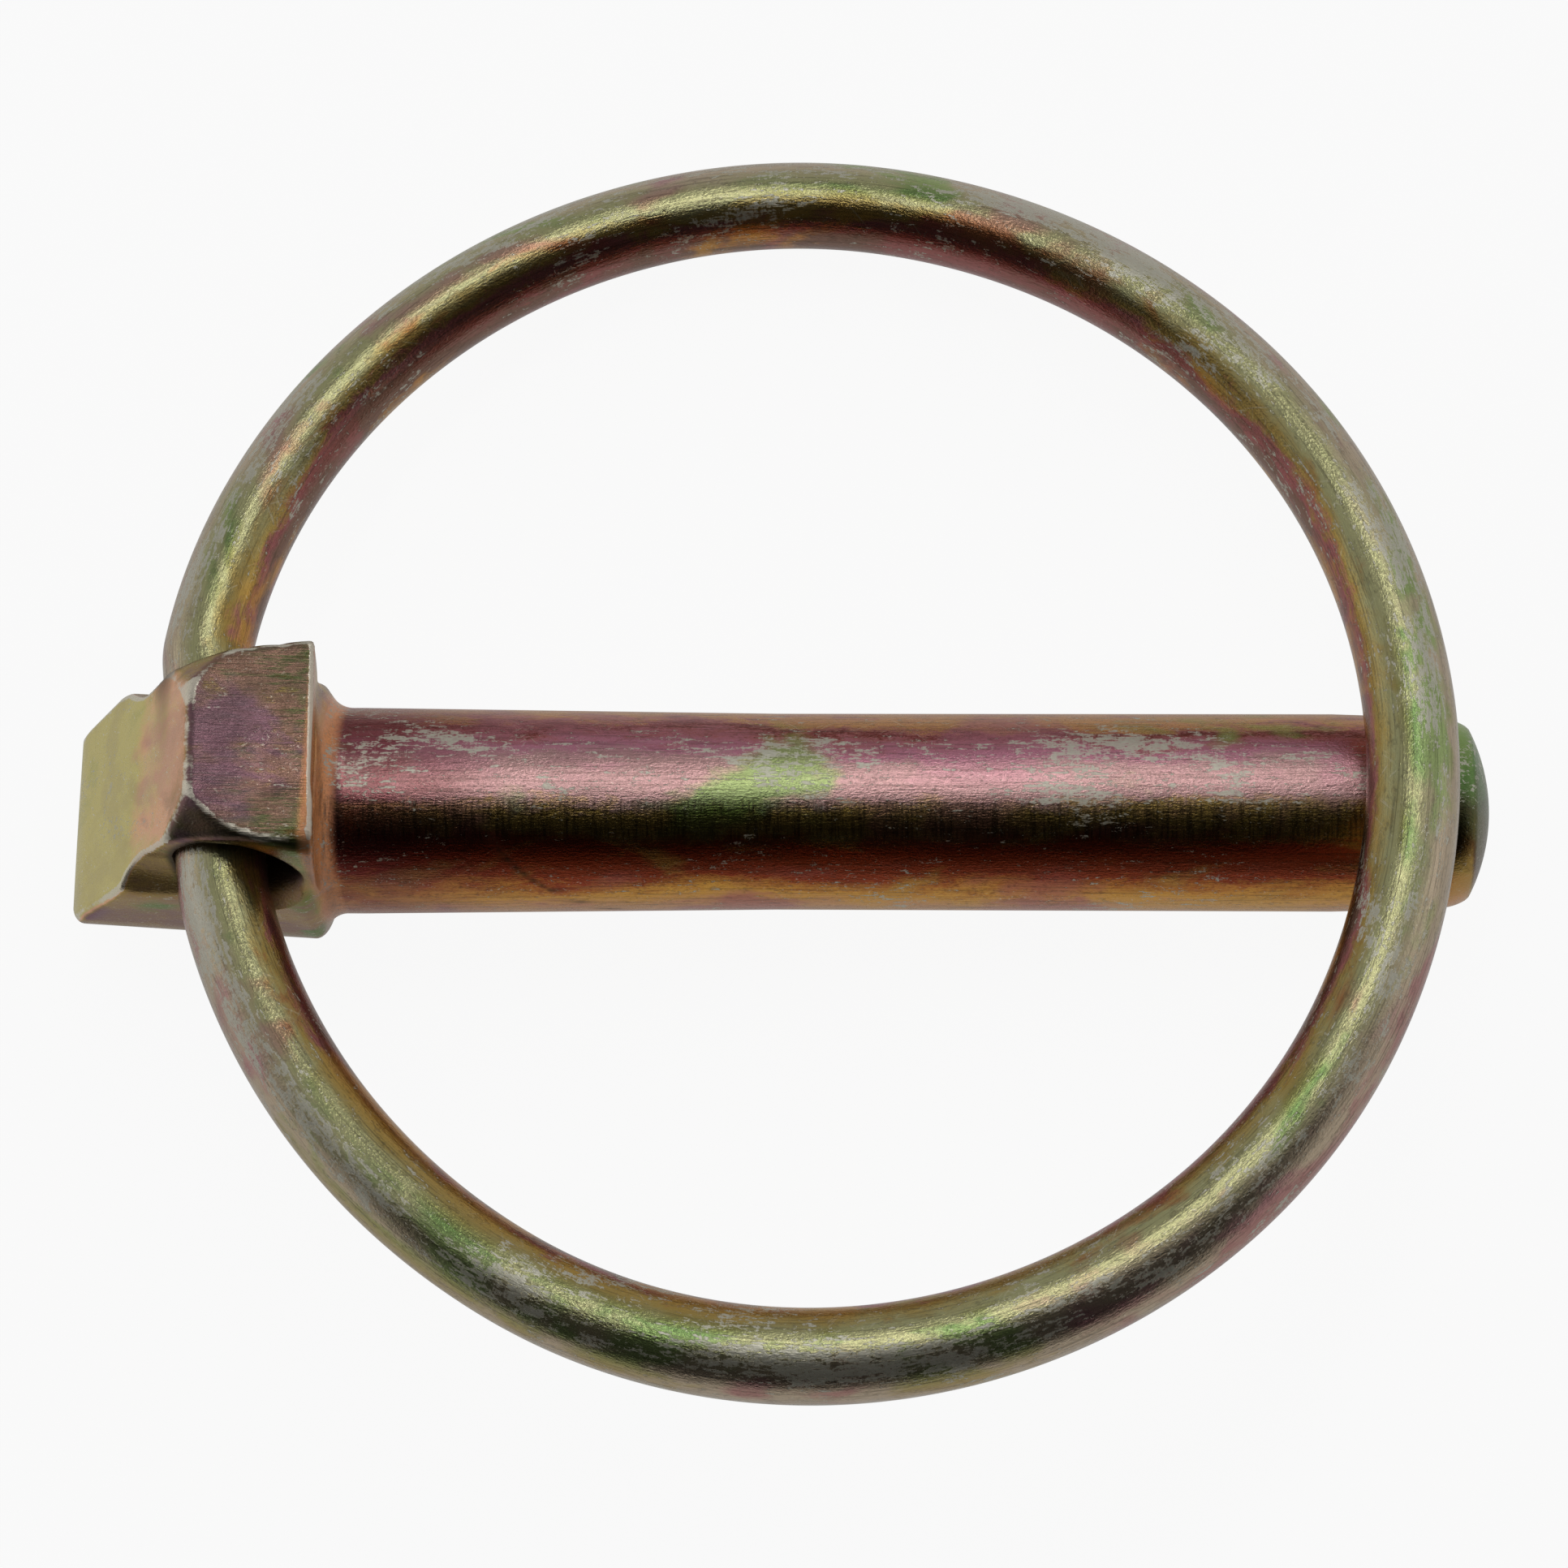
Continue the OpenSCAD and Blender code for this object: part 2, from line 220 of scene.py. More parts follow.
def nose_distance(p):
    """Two leaning side flats, the turned corner and the shoulder, down to the nose's foot."""
    sides = (np.abs(p[:, 1]) - NOSE_HALF - p[:, 0] * np.tan(DRAFT)) * np.cos(DRAFT)
    shoulder = below(skewed(p), [0, 0, FRONT_H], [np.cos(LEAN), 0, -np.sin(LEAN)])
    nose = both(both(sides, turned_distance(p), EDGE), shoulder, EDGE)
    return both(nose, NOSE_FOOT - p[:, 2], EDGE)


def relief_distance(p):
    """A ball and the bar that runs from it along the foot of a side flat, on either side."""
    side = np.stack([p[:, 0] + RELIEF_LEN,
                     np.abs(p[:, 1]) - (NOSE_HALF - RELIEF_LEN * np.tan(DRAFT)), p[:, 2] - HOLE_H], 1)
    c, s = np.cos(DRAFT), np.sin(DRAFT)
    along, out = side[:, 0] * c + side[:, 1] * s, side[:, 1] * c - side[:, 0] * s - RELIEF_R
    reach = np.minimum(along, 0)
    return np.sqrt(reach ** 2 + out ** 2 + side[:, 2] ** 2) - RELIEF_R


print("the grooves end", RELIEF_LEN + RELIEF_R, "mm behind the shoulder")

# %% [markdown]
# ## Dents, and the whole pin
# A forging's faces keep shallow waves a few mm long. They could be a bump in the finish, but they also
# bend the edges, so they go into the distance itself. The front has one pressed patch by the shoulder.

# %% The whole pin's distance
DENT, MEAN_DENT, SECOND_WAVE = 0.03, 1.6, 0.6
PRESSED_DEPTH, PRESSED_ABOVE = 0.10, 5.0
SHANK_INSET = 1.0
END_EDGE_X, FILLET_Z = [-11.0, -8.0], [-2.5, 2.5]


def dents(p):
    """How deep the surface lies below the true face: two products of sine waves that cross at odd
    angles, so that they don't repeat on the head, and one pressed patch on the front. All of it fades
    out towards the collar."""
    x, y, z = p.T
    waves = np.sin(1.3 * x + 0.9 * y + 0.6) * np.sin(1.1 * y - 0.7 * z + 0.3) \
        + SECOND_WAVE * np.sin(2.3 * x - 1.9 * y + 1.7) * np.sin(1.7 * z + 1.5 * y)
    patch = PRESSED_DEPTH * rise(-y, -2.3, 4) * rise(y, -2.6, 0.9) * rise(x, -2.8, 0.8)
    faded = DENT * (MEAN_DENT + waves) * rise(-x, 0, 1.5)
    return (faded + patch * (z > PRESSED_ABOVE)) * rise(z, 1.5, 2)


def pin_distance(p):
    """Nose on collar, cut by front and bevel and by the grooves, and joined to the shank by a fillet
    that is larger at the nose than at the collar."""
    body = both(either(collar_distance(p), nose_distance(p), EDGE), -HEAD_LEN - p[:, 0], EDGE)
    end_edge = np.interp(p[:, 0], END_EDGE_X, [END_EDGE, EDGE])
    head = both(both(ends_distance(p), body, end_edge), -relief_distance(p), EDGE) + dents(p)
    shank = both(shank_distance(p), -SHANK_INSET - p[:, 0], EDGE)
    fillet = np.interp(p[:, 2], FILLET_Z, [COLLAR_FILLET, ROOT_FILLET])
    return either(head, shank, fillet)


print("the hole's axis lies", -pin_distance(np.array([[-HOLE_BACK, 0, HOLE_H]])).round(2), "mm deep")

# %% [markdown]
# ## From distance to surface
# A grid wraps a shape well if every one of its points can be seen from a line inside it. Here that line
# is the shank's axis: rays fan out over the end of the head, lean forward to reach the shoulder, and
# stand square along the shank. Each ray steps outwards by its distance to the surface until it is there.

# %% Rays from the axis
END_EYE, SHOULDER_EYE, BAR_EYE, TIP_EYE = -6.0, -3.0, 9.0, 42.5
SQUARE, FORWARD, MOST_FORWARD, STRAIGHT_ON = 90, 110, 136, 180
AROUND = 256
FIRST_REACH, PACE, STEPS = 2.5, 0.85, 70


def fan(starts, leans, count):
    """count rows of rays: where on the axis each starts, and its lean from the head's end in degrees."""
    t = np.linspace(0, 1, count, endpoint=False)
    return np.column_stack([starts[0] + (starts[1] - starts[0]) * t,
                            np.radians(leans[0] + (leans[1] - leans[0]) * t)])


def along_shank(first, last, leans, count):
    """Rows that meet a bar of the root's radius at even places between first and last."""
    t = np.linspace(0, 1, count, endpoint=False)
    lean = np.radians(leans[0] + (leans[1] - leans[0]) * t)
    return np.column_stack([first + (last - first) * t + ROOT_R / np.tan(lean), lean])


def surface_on_rays(distance, rows, turn):
    """Points where rays from the axis leave the solid: each ray goes on by the distance still to go."""
    start, lean = rows[:, :1], rows[:, 1:]
    direction = np.stack([-np.cos(lean) + 0 * turn, np.sin(lean) * np.cos(turn),
                          np.sin(lean) * np.sin(turn)], -1).reshape(-1, 3)
    origin = np.zeros_like(direction)
    origin[:, 0] = np.repeat(start, turn.size)
    reach = np.full(len(origin), FIRST_REACH)
    for _ in range(STEPS):
        reach -= PACE * distance(origin + direction * reach[:, None])
    return origin + direction * reach[:, None]


bar_from = SHOULDER_EYE + ROOT_R / np.tan(np.radians(STRAIGHT_ON - MOST_FORWARD))
rows = np.vstack([
    fan((END_EYE, END_EYE), (0, SQUARE), 112)[1:],
    fan((END_EYE, SHOULDER_EYE), (SQUARE, SQUARE), 34),
    fan((SHOULDER_EYE, SHOULDER_EYE), (SQUARE, FORWARD), 32),
    fan((SHOULDER_EYE, SHOULDER_EYE), (FORWARD, MOST_FORWARD), 76),
    along_shank(bar_from, BAR_EYE, (MOST_FORWARD, SQUARE), 24),
    fan((BAR_EYE, TIP_EYE), (SQUARE, SQUARE), 30),
    fan((TIP_EYE, TIP_EYE), (SQUARE, STRAIGHT_ON), 44),
])
turn = np.linspace(0, 2 * np.pi, AROUND, endpoint=False)[None, :]
skin = surface_on_rays(pin_distance, rows, turn)
poles = surface_on_rays(pin_distance, np.array([[END_EYE, 0.0], [TIP_EYE, np.pi]]), np.zeros((1, 1)))
print("skin", skin.shape, "left over", float(np.abs(pin_distance(skin)).max()))

# %% [markdown]
# ## The mesh of a wrapped grid
# Rows of points around a form become quads between neighbours, and a fan of triangles closes each end.
# The pin, the drill and the wire are all such grids, so one function makes the three meshes.

# %% Grid to mesh
def wrapped_mesh(name, grid, count, around, ends):
    """Mesh of count rows of points, each a closed loop, with both ends drawn together to a point."""
    i, j = np.meshgrid(np.arange(count - 1), np.arange(around), indexing="ij")
    k = (j + 1) % around
    quads = np.stack([i * around + j, i * around + k, (i + 1) * around + k, (i + 1) * around + j], -1)
    j = np.arange(around)
    k = (j + 1) % around
    last = (count - 1) * around
    first_fan = np.stack([0 * j + count * around, k, j], -1)
    last_fan = np.stack([0 * j + count * around + 1, last + j, last + k], -1)
    mesh = bpy.data.meshes.new(name)
    mesh.from_pydata(np.vstack([grid, ends]), [], quads.reshape(-1, 4).tolist() + first_fan.tolist()
                     + last_fan.tolist())
    mesh.polygons.foreach_set("use_smooth", np.ones(len(mesh.polygons), bool))
    mesh.update()
    return mesh


def add_object(name, mesh):
    """An object with that mesh, at the origin and unturned."""
    piece = bpy.data.objects.new(name, mesh)
    bpy.context.scene.collection.objects.link(piece)
    return piece


pin_mesh = wrapped_mesh("forged_pin", to_table(skin), len(rows), AROUND, to_table(poles))
forged_pin = add_object("forged_pin", pin_mesh)
print("forged pin", len(pin_mesh.polygons), "faces")

# %% [markdown]
# ## The cross hole
# The hole is drilled after forging, so it is cut here too: a Boolean modifier takes away a bar whose
# profile opens out a little at both mouths, which breaks the hole's edges.

# %% Drill the cross hole
DRILL_AROUND = 96
DRILL_AT = np.array([-9.0, -4.33, -4.05, 4.05, 4.33, 9.0])
DRILL_FLARE = np.array([1.2, 0.16, 0, 0, 0.16, 1.2])
hole_way = np.array([np.sin(HOLE_SLANT), -np.cos(HOLE_SLANT), 0])
hole_at = np.array([-HOLE_BACK, 0, HOLE_H])


def bar_surface(start, way, places, radii, around):
    """A round bar from start along way: at each place along it, a loop of the given radius."""
    side = np.cross(way, [0, 0, 1.0])
    side /= np.linalg.norm(side)
    up = np.cross(way, side)
    a = np.linspace(0, 2 * np.pi, around, endpoint=False)[None, :, None]
    loops = (start + places[:, None, None] * way
             + radii[:, None, None] * (np.cos(a) * side + np.sin(a) * up))
    return loops.reshape(-1, 3), np.array([start + places[0] * way, start + places[-1] * way])


drill_grid, drill_ends = bar_surface(hole_at, hole_way, DRILL_AT, HOLE_R + DRILL_FLARE, DRILL_AROUND)
drill_mesh = wrapped_mesh("drill", to_table(drill_grid), len(DRILL_AT), DRILL_AROUND,
                          to_table(drill_ends))
drill = add_object("drill", drill_mesh)
cut = forged_pin.modifiers.new("cross_hole", "BOOLEAN")
cut.operation, cut.object, cut.solver = "DIFFERENCE", drill, "EXACT"
bpy.context.view_layer.update()
drilled = bpy.data.meshes.new_from_object(
    forged_pin.evaluated_get(bpy.context.evaluated_depsgraph_get()))
forged_pin.modifiers.clear()
forged_pin.data = drilled
bpy.data.objects.remove(drill)
print("drilled pin", len(drilled.polygons), "faces")

# %% [markdown]
# ## Marks of wear and painted shade
# The finish changes from place to place: metal worn bare on proud edges, shade painted dark in the hole. A
# material can't know where those are, but the distances can, so each point of the mesh gets a few numbers
# from 0 to 1 that the material reads. Edges wear most round the flat front and the bevel, which stand
# proud, and the painted shade keeps to the hole, the grooves and the lower turned corner.

# %% Marks of wear and painted shade
BEND_STEP, BEND_FULL, EDGE_REACH = 0.2, 4, 0.16
FACE_REACH, CORNER_REACH, GROOVE_REACH, MOUTH_REACH = 0.25, 0.2, 0.15, 0.4
MOUTH_FULL, MOUTH_TOP, CORNER_PAINTED_SHADE, GROOVE_PAINTED_SHADE = 1.1, 5.9, 0.8, 0.1


def bend_of(distance, p, step):
    """How sharply the surface turns: the sum of the distance's second differences along x, y and z."""
    total = -6 * distance(p)
    for axis in np.eye(3) * step:
        total += distance(p + axis) + distance(p - axis)
    return total / step ** 2


def on_face(distance, reach):
    """1 on a face, and down to 0 where the distance from it has grown to the reach."""
    return np.clip(1 - distance / reach, 0, 1)


corners = np.empty(3 * len(drilled.vertices), np.float32)
drilled.vertices.foreach_get("co", corners)
points = from_table(corners.reshape(-1, 3))
x, y, z = points.T
square_points = skewed(points)
edge = bend_of(pin_distance, points, BEND_STEP) / BEND_FULL \
    * np.exp(-(ends_distance(points) / EDGE_REACH) ** 2)
front = on_face(np.abs(below(square_points, FRONT_EDGE, FRONT_WAY)), FACE_REACH)
bevel = on_face(np.abs(bevel_distance(square_points)), FACE_REACH) * (1 - front)
from_hole = np.linalg.norm(np.cross(points - hole_at, hole_way), axis=1) - HOLE_R
low_corner = on_face(np.abs(turned_distance(points)), CORNER_REACH) * rise(-y, 1.2, 1)
groove = on_face(relief_distance(points), GROOVE_REACH)
# Painted shade: the hole and its mouth, the lower turned corner and the grooves are marked for darkening.
in_hole = np.clip(MOUTH_FULL - from_hole / MOUTH_REACH, 0, 1) * (z < MOUTH_TOP)
grime = np.maximum.reduce([in_hole, CORNER_PAINTED_SHADE * low_corner, GROOVE_PAINTED_SHADE * groove])
print("worn edge at", int((edge > 0.5).sum()), "of", len(points), "points")

# %% [markdown]
# ## Marks of the film
# The shank's colours change round the bar with the way its surface faces, and each keeps its place on
# the metal however the part is held. One direction across the bar is enough to place them: the film mark
# is how far the surface looks that way, from 0 to 1, and a row of colours is laid over it later. The
# head's faces have places of their own. The other marks say where the shank, its root, its fillet and its tip
# are.

# %% Marks of the film
BAND_WAY = np.array([0, 0.909, 0.416])
FRONT_FILM, CORNER_SHADE = 0.20, 0.9
SIDE_Z, SIDE_FILM = [-4.5, -1.0, 3.0], [0.42, 0.32, 0.42]
BEVEL_X, BEVEL_FILM = [-11.5, -9.0, -7.0, -5.3], [0.98, 0.86, 0.74, 0.62]
FILLET_X, FILLET_WIDE, FILLET_FULL, FILLET_LOW = 0.1, 0.42, 1.3, -2.2


def normal_of(distance, p, step=0.05):
    """The way the surface looks: the distance's slope along x, y and z."""
    slope = np.stack([distance(p + a) - distance(p - a) for a in np.eye(3) * step], 1)
    return slope / (np.linalg.norm(slope, axis=1)[:, None] + 1e-9)


side_film, bevel_film = np.interp(z, SIDE_Z, SIDE_FILM), np.interp(x, BEVEL_X, BEVEL_FILM)
head_film = side_film + (FRONT_FILM - side_film) * front + (bevel_film - side_film) * bevel
head_film = head_film * (1 - CORNER_SHADE * low_corner)
bar_film = 0.5 + 0.5 * (normal_of(pin_distance, points) @ BAND_WAY)
shank = rise(x, -0.3, 0.5)
film = head_film + (bar_film - head_film) * shank
fillet = np.clip(FILLET_FULL - np.abs(x - FILLET_X) / FILLET_WIDE, 0, 1) * (z > FILLET_LOW)
root = rise(-x, -7.5, 5) * shank
pressed = front * rise(-y, -2.2, 0.7) * rise(y, -2.8, 0.5) * rise(x, -2.6, 0.5)
tip = rise(x, 44.4, 0.5)
print("film mark on the shank from", bar_film.min().round(3), "to", bar_film.max().round(3))

# %% [markdown]
# ## Storing the marks
# The marks go into the mesh as attributes, one for each name, beside the piece's own coordinates in mm.
# Both pieces share one finish, so every mesh has every mark, and a mark that it isn't given is 0.

# %% Store the pin's marks
MARKS = ("edge", "front", "bevel", "film", "grime", "shank", "fillet", "root", "pressed", "groove", "tip")


def store_marks(mesh, own, marks):
    """The piece's own coordinates, and for each of its points one number from 0 to 1 for each mark."""
    mesh.attributes.new("own", "FLOAT_VECTOR", "POINT").data.foreach_set(
        "vector", own.astype(np.float32).ravel())
    for name in MARKS:
        values = np.clip(marks.get(name, np.zeros(len(own))), 0, 1)
        mesh.attributes.new(name, "FLOAT", "POINT").data.foreach_set("value", values.astype(np.float32))
    return {name: round(float(np.clip(values, 0, 1).mean()), 3) for name, values in marks.items()}


print("means", store_marks(drilled, points, {
    "edge": edge, "front": front, "bevel": bevel, "film": film, "grime": grime, "shank": shank,
    "fillet": fillet, "root": root, "pressed": pressed, "groove": groove, "tip": tip}))

# %% [markdown]
# ## The ring
# The ring is one length of spring wire. Its middle line is a chain of arcs in a plane, each starting in
# the direction in which the last one ended, so a list of radii and headings describes it all. The two
# arcs beside the head get the radii that bring both ends onto the hole's axis.

# %% The wire's path
HEADINGS = np.radians([-81.5, -73.5, -31, 64, 170, 263, 278.5])
BEND_R, TIGHT_R, OPEN_R, END_GAP, BEND_CLEAR, REST_GAP = 3.0, 22.6, 25.95, 1.6, 0.8, 0.08
WIRE_STEP, FEWEST_POINTS = 0.25, 6


def way_between(a, b):
    """Way covered by an arc of radius 1 that starts with heading a and ends with heading b."""
    return np.array([np.sin(b) - np.sin(a), np.cos(a) - np.cos(b)])


mouth = (NOSE_HALF - HOLE_BACK * np.tan(DRAFT)) / np.cos(HOLE_SLANT)
bend_start = mouth + BEND_CLEAR
ways = [way_between(a, b) for a, b in zip(HEADINGS[:-1], HEADINGS[1:])]
low_end = bend_start * hole_way[:2]
left_over = -2 * low_end - BEND_R * (ways[0] + ways[5]) - TIGHT_R * ways[2] - OPEN_R * ways[3]
low_r, high_r = np.linalg.solve(np.column_stack([ways[1], ways[4]]), left_over)
RADII = [BEND_R, low_r, TIGHT_R, OPEN_R, high_r, BEND_R]


def wire_line(step):
    """Points along the wire, and its heading at each: straight out of the hole, round six arcs, and
    straight in again. On an arc the place is its centre plus the radius at right angles to the heading."""
    straight = np.linspace(END_GAP / 2, bend_start, int((bend_start - END_GAP / 2) / step), endpoint=False)
    points, heads = [np.outer(straight, hole_way[:2])], [np.full(len(straight), HEADINGS[0])]
    at = low_end
    for radius, a, b in zip(RADII, HEADINGS[:-1], HEADINGS[1:]):
        h = np.linspace(a, b, max(int(radius * (b - a) / step), FEWEST_POINTS), endpoint=False)
        centre = at + radius * np.array([-np.sin(a), np.cos(a)])
        points.append(centre + radius * np.column_stack([np.sin(h), -np.cos(h)]))
        heads.append(h)
        at = centre + radius * np.array([np.sin(b), -np.cos(b)])
    points.append(np.outer(-straight[::-1], hole_way[:2]))
    heads.append(np.full(len(straight), HEADINGS[-1]))
    return np.vstack(points), np.concatenate(heads)


line, heads = wire_line(WIRE_STEP)
print("arc radii", np.round(RADII, 3), "and", len(line), "points")

# %% [markdown]
# ## Sweeping the wire
# The closed ring lies on the shank near its tip, and that gives the angle by which its plane is turned
# about the hole's axis. The tube itself is a circle carried along the line. It is a few microns thinner
# than the real wire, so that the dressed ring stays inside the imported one's box.

# %% Sweep the wire
WIRE_AROUND, TUBE_R = 64, WIRE_R - 0.003


def closed_angle():
    """The lean at which the wire, where it crosses the shank, clears it by the resting gap."""
    centre = low_end + BEND_R * ways[0] + low_r * ways[1] + TIGHT_R * ways[2]
    centre = centre + OPEN_R * np.array([-np.sin(HEADINGS[3]), np.cos(HEADINGS[3])])
    cross = centre[0] + np.sqrt(OPEN_R ** 2 - centre[1] ** 2)
    radius = np.interp(cross - HOLE_BACK - WIRE_R, [LEAD_AT, SHANK_LEN - TIP_EDGE_R], [SHANK_R, LEAD_R])
    return np.arcsin((radius + WIRE_R + REST_GAP - HOLE_H) / (cross * np.cos(HOLE_SLANT)))


def swung(flat, up):
    """Points of the ring's plane, raised by up at right angles to it, in the pin's frame: the plane
    is turned about the hole's axis by the closed angle."""
    lean = closed_angle()
    side = np.array([np.cos(HOLE_SLANT), np.sin(HOLE_SLANT), 0])
    along, out = flat @ hole_way[:2], flat @ side[:2]
    normal = np.array([-np.sin(lean) * side[0], -np.sin(lean) * side[1], np.cos(lean)])
    return (HINGE + along[..., None] * hole_way + up[..., None] * normal
            + out[..., None] * (np.cos(lean) * side + np.array([0, 0, np.sin(lean)])))


a = np.linspace(0, 2 * np.pi, WIRE_AROUND, endpoint=False)[None, :] + 0 * heads[:, None]
across = np.stack([np.sin(heads), -np.cos(heads)], -1)[:, None, :]
flat = line[:, None, :] + TUBE_R * np.cos(a)[..., None] * across
tube = swung(flat, -TUBE_R * np.sin(a)).reshape(-1, 3)
ends = swung(line[[0, -1]], np.zeros(2))
wire_mesh = wrapped_mesh("sprung_ring", to_table(tube), len(line), WIRE_AROUND, to_table(ends))
sprung_ring = add_object("sprung_ring", wire_mesh)
print("ring", len(wire_mesh.polygons), "faces, closed at", np.degrees(closed_angle()).round(2), "degrees")

# %% [markdown]
# ## Marks on the wire
# The wire's pattern should run along it round every bend, so its own coordinates are the way along the
# wire and the place round it. Its film mark is 1 on the outer side of the ring and 0 on the inner one.

# %% Store the wire's marks
run = np.concatenate([[0], np.cumsum(np.hypot(*np.diff(line, axis=0).T))])
own = np.stack([run[:, None] + 0 * a, WIRE_R * np.cos(a), WIRE_R * np.sin(a)], -1).reshape(-1, 3)
outwards = np.concatenate([np.cos(a).ravel(), [0, 0]])
wire_marks = {"film": 0.5 + 0.5 * outwards, "shank": np.ones(len(outwards))}
print("wire", round(run[-1], 1), "mm long, means",
      store_marks(wire_mesh, np.vstack([own, own[:1], own[-1:]]), wire_marks))

# %% [markdown]
# ## The finish
# Yellow passivated zinc is a thin film on bright metal: it drifts from gold through mauve to green where
# the film's thickness changes, and it wears to grey where the part rubs. One way is a film shader, but
# its colour is the same all over a part. Here a row of colours is read by the film mark, shifted by slow
# noise that is stretched along the bar, and scuffs, scratches and worn edges lie over it.

# %% Shader maths as expressions
class Socket:
    """Wraps a node's output, so that a finish can be written as a sum."""

    def __init__(self, tree, output):
        self.tree, self.output = tree, output

    def math(self, operation, *values):
        """The result of one operation on these values."""
        return add_node(self.tree, "ShaderNodeMath", {"operation": operation}, values)

    def __add__(self, other): return self.math("ADD", self, other)
    def __sub__(self, other): return self.math("SUBTRACT", self, other)
    def __rsub__(self, other): return self.math("SUBTRACT", other, self)
    def __mul__(self, other): return self.math("MULTIPLY", self, other)
    __radd__, __rmul__ = __add__, __mul__

    def step(self, low, high):
        """0 below low, 1 above high, and a smooth rise between."""
        return add_node(self.tree, "ShaderNodeMapRange", {"interpolation_type": "SMOOTHSTEP"},
                        {0: self, 1: low, 2: high, 3: 0.0, 4: 1.0})

    def ramp(self, stops):
        """The colour at this value on a row of (place, colour) stops."""
        return add_node(self.tree, "ShaderNodeValToRGB", {"stops": stops}, [self])

    def choose(self, first, second):
        """The first colour where this value is 0, the second where it is 1, and a mix between."""
        first, second = (c if isinstance(c, Socket) else (*c, 1) for c in (first, second))
        return add_node(self.tree, "ShaderNodeMix", {"data_type": "RGBA"}, {0: self, 6: first, 7: second}, 2)

    def over(self, mask, colour):
        """This colour, with another one over it where the mask is 1."""
        return mask.choose(self, colour)

    def noise(self, scale, detail=2.0, rough=0.5, wander=0.0, turn=(0, 0, 0)):
        """Noise from 0 to 1 at this place, turned first: scale gives its waves per mm along x, y, z."""
        place = add_node(self.tree, "ShaderNodeMapping", {}, {"Vector": self, "Rotation": turn})
        place = add_node(self.tree, "ShaderNodeMapping", {}, {"Vector": place, "Scale": scale})
        return add_node(self.tree, "ShaderNodeTexNoise", {},
                        {"Vector": place, "Scale": 1.0, "Detail": detail, "Roughness": rough,
                         "Distortion": wander})


def add_node(tree, kind, settings, inputs, output=0):
    """Any node: its settings first, then the values or links of its sockets, by place or by name."""
    node = tree.nodes.new(kind)
    for key, value in settings.items():
        if key == "stops":
            while len(node.color_ramp.elements) < len(value):
                node.color_ramp.elements.new(0.5)
            for element, (place, colour) in zip(node.color_ramp.elements, value):
                element.position, element.color = place, (*colour, 1)
        else:
            setattr(node, key, value)
    for key, value in (inputs.items() if isinstance(inputs, dict) else enumerate(inputs)):
        if isinstance(value, Socket):
            tree.links.new(value.output, node.inputs[key])
        else:
            node.inputs[key].default_value = value
    return Socket(tree, node.outputs[output])


def new_material(name):
    """A material with its node tree and its main shader."""
    material = bpy.data.materials.new(name)
    material.use_nodes = True
    return material, material.node_tree, material.node_tree.nodes["Principled BSDF"]


print("a finish can now be written as a sum")

# %% [markdown]
# ## The film's colours
# Passivate comes out of the bath in one family of colours: gold, amber, rust, olive, rose, mauve and
# green. Each has one name here, and the rows are made of names, so that a change of colour is one edit.
# The shank, the wire, the head and the tip each have a row that the film mark reads, and patches of
# green and mauve have one each.

# %% The film's colours
WORN, BARE, SOOT_AND_SHADE, PAINTED_FRONT_SHADE = (0.60, 0.58, 0.48), (0.80, 0.75, 0.62), (0.05, 0.035, 0.02), (0.05, 0.06, 0.03)
POOLED_AND_GLOW, WINE = (1.0, 0.42, 0.16), (0.22, 0.05, 0.06)
MOSS, PLUM, PINE, GREEN = (0.09, 0.23, 0.05), (0.20, 0.10, 0.15), (0.10, 0.12, 0.05), (0.28, 0.44, 0.13)
GOLD, AMBER, RUST, OLIVE = (0.62, 0.31, 0.12), (0.70, 0.36, 0.07), (0.37, 0.07, 0.03), (0.44, 0.30, 0.08)
ROSE, MAUVE, CLARET, REFLECTED_DARK_EDGE = (0.49, 0.29, 0.28), (0.54, 0.22, 0.30), (0.43, 0.15, 0.15), (0.20, 0.04, 0.03)
SAGE, STRAW, PEACH, UMBER = (0.44, 0.43, 0.22), (0.72, 0.62, 0.22), (0.96, 0.52, 0.30), (0.26, 0.15, 0.11)
ASH, BROWN = (0.56, 0.45, 0.32), (0.10, 0.06, 0.02)
# In the shank's row, the thin dark line at 0.912 is a painted reflection of a dark edge.
SHANK_FILM = [(0.03, GOLD), (0.09, AMBER), (0.20, RUST), (0.36, RUST), (0.43, OLIVE), (0.51, OLIVE),
              (0.57, ROSE), (0.76, ROSE), (0.81, MAUVE), (0.89, CLARET), (0.912, REFLECTED_DARK_EDGE), (0.93, CLARET),
              (0.97, GOLD)]
HEAD_FILM = [(0.0, BROWN), (0.10, PINE), (0.24, UMBER), (0.32, UMBER), (0.46, OLIVE), (0.60, PEACH),
             (0.74, STRAW), (1.0, STRAW)]
WIRE_FILM = [(0.02, UMBER), (0.11, CLARET), (0.19, OLIVE), (0.36, SAGE), (0.55, SAGE), (0.80, ASH),
             (0.97, ASH)]
TIP_FILM = [(0.05, GOLD), (0.26, OLIVE), (0.36, BROWN), (0.55, PINE), (0.68, MOSS), (0.95, GREEN)]
GREENS = [(0.0, AMBER), (0.3, OLIVE), (0.5, MOSS), (0.65, GREEN), (0.85, GREEN), (1.0, OLIVE)]
MAUVES = [(0.0, CLARET), (0.3, RUST), (0.6, ROSE), (0.8, MAUVE), (1.0, CLARET)]
print("colours in the rows", [len(row) for row in (SHANK_FILM, HEAD_FILM, WIRE_FILM, TIP_FILM)])

# %% [markdown]
# ## The noises
# One set of noises serves the whole finish, so that its layers belong together: where the film is
# scuffed it is also rougher. They run from slow drifts of several mm down to a grain of a tenth of one.
# Most are longer along the bar than across it, and only the marks of turning run round it.

